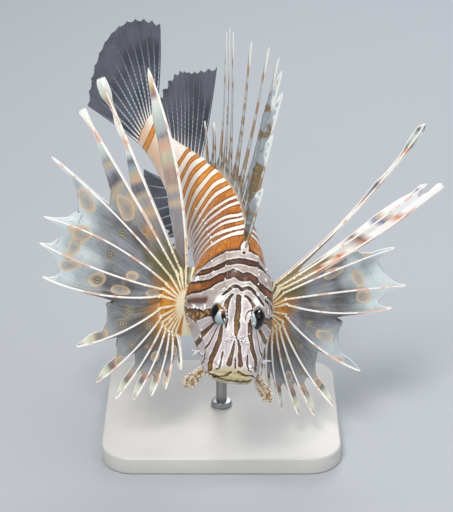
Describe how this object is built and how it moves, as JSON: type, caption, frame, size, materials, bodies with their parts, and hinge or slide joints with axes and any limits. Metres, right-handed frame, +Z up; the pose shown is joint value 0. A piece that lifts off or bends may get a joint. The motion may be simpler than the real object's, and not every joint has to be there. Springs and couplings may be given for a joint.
{
  "type": "red lionfish model",
  "caption": "Life-size red lionfish swimming head down with its fins fanned out, held by a short rod over a plain flat base.",
  "frame": {"origin": "centre of the stand base's flat underside", "axes": "+Z up, the fish's snout points towards -Y, its left side towards +X"},
  "size_m": [0.2185, 0.228, 0.2292],
  "materials": {
    "head_skin": "satin, cream ground with red-brown stripes",
    "banded_skin": "satin, red-brown bands with narrow white lines",
    "eye": "glossy, dark pupil and gold-brown iris",
    "tentacle_skin": "satin, cream and brown",
    "pectoral_membrane": "translucent satin, pale with spots",
    "dusky_membrane": "translucent satin, dusky grey",
    "spine_skin": "satin, pale with brown bands",
    "stand_paint": "satin light grey paint",
    "stand_steel": "brushed"
  },
  "bodies": {
    "root": {"head": "head_skin", "lower_jaw": "head_skin", "trunk": "banded_skin", "tail_stalk": "banded_skin", "eye_left": "eye", "eye_right": "eye", "mouth_tentacle_left": "tentacle_skin", "mouth_tentacle_right": "tentacle_skin", "pectoral_fin_left": "pectoral_membrane", "pectoral_fin_right": "pectoral_membrane", "pelvic_fin_left": "dusky_membrane", "pelvic_fin_right": "dusky_membrane", "dorsal_spines": "spine_skin", "soft_dorsal_fin": "dusky_membrane", "anal_fin": "dusky_membrane", "tail_fin": "dusky_membrane", "stand_base": "stand_paint", "stand_rod": "stand_steel"}
  },
  "joints": []
}
